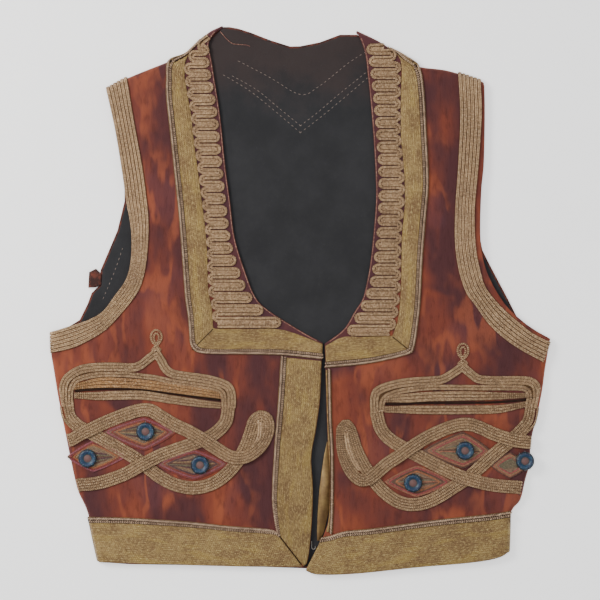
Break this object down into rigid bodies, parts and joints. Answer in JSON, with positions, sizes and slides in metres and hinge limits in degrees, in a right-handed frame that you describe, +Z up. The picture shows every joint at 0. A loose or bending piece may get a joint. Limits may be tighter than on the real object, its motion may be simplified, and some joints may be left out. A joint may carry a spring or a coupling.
{
  "type": "folk dress vest",
  "caption": "Sleeveless open-fronted folk vest in velvet with gold tape, couched braid knotwork and ring buttons, laid flat on its back.",
  "frame": {"origin": "middle of the bounding box, on the floor that the back lies on", "axes": "+Z up off the floor, +Y from hem to neck, +X to the viewer's right when the vest is seen from above"},
  "size_m": [0.5014, 0.5501, 0.0112],
  "materials": {
    "velvet": "crushed velvet pile",
    "lining": "matt woven cotton",
    "galloon": "woven metal-thread tape, soft sheen",
    "braid": "couched metal-thread braid, soft sheen",
    "thread": "embroidery thread, satin",
    "ring": "glossy",
    "steel": "dull"
  },
  "bodies": {
    "root": {"back_panel": "velvet", "back_lining": "lining", "front_left": "velvet", "front_right": "velvet", "neck_tape_left": "galloon", "neck_tape_right": "galloon", "centre_tape_left": "galloon", "centre_edge_right": "galloon", "centre_tape_right": "galloon", "hem_tape_left": "galloon", "hem_tape_right": "galloon", "neck_comb_left": "braid", "neck_comb_right": "braid", "armhole_band_left": "braid", "armhole_band_right": "braid", "pocket_frame_outer_left": "braid", "pocket_frame_outer_right": "braid", "pocket_frame_inner_left": "braid", "pocket_frame_inner_right": "braid", "pocket_loop_left": "braid", "pocket_loop_right": "braid", "pocket_welt_upper_left": "braid", "pocket_welt_upper_right": "braid", "pocket_welt_lower_left": "braid", "pocket_welt_lower_right": "braid", "knot_band_main_left": "braid", "knot_band_main_right": "braid", "knot_band_cross_left": "braid", "knot_band_cross_right": "braid", "knot_band_wave_left": "braid", "knot_band_wave_right": "braid", "eye_pad_top_left": "thread", "eye_pad_outer_left": "thread", "eye_pad_inner_left": "thread", "eye_pad_top_right": "thread", "eye_pad_outer_right": "thread", "eye_pad_inner_right": "thread", "ring_button_top_left": "ring", "ring_button_outer_left": "ring", "ring_button_inner_left": "ring", "ring_button_top_right": "ring", "ring_button_outer_right": "ring", "ring_button_inner_right": "ring", "armhole_tab": "velvet", "front_hook": "steel"}
  },
  "joints": []
}
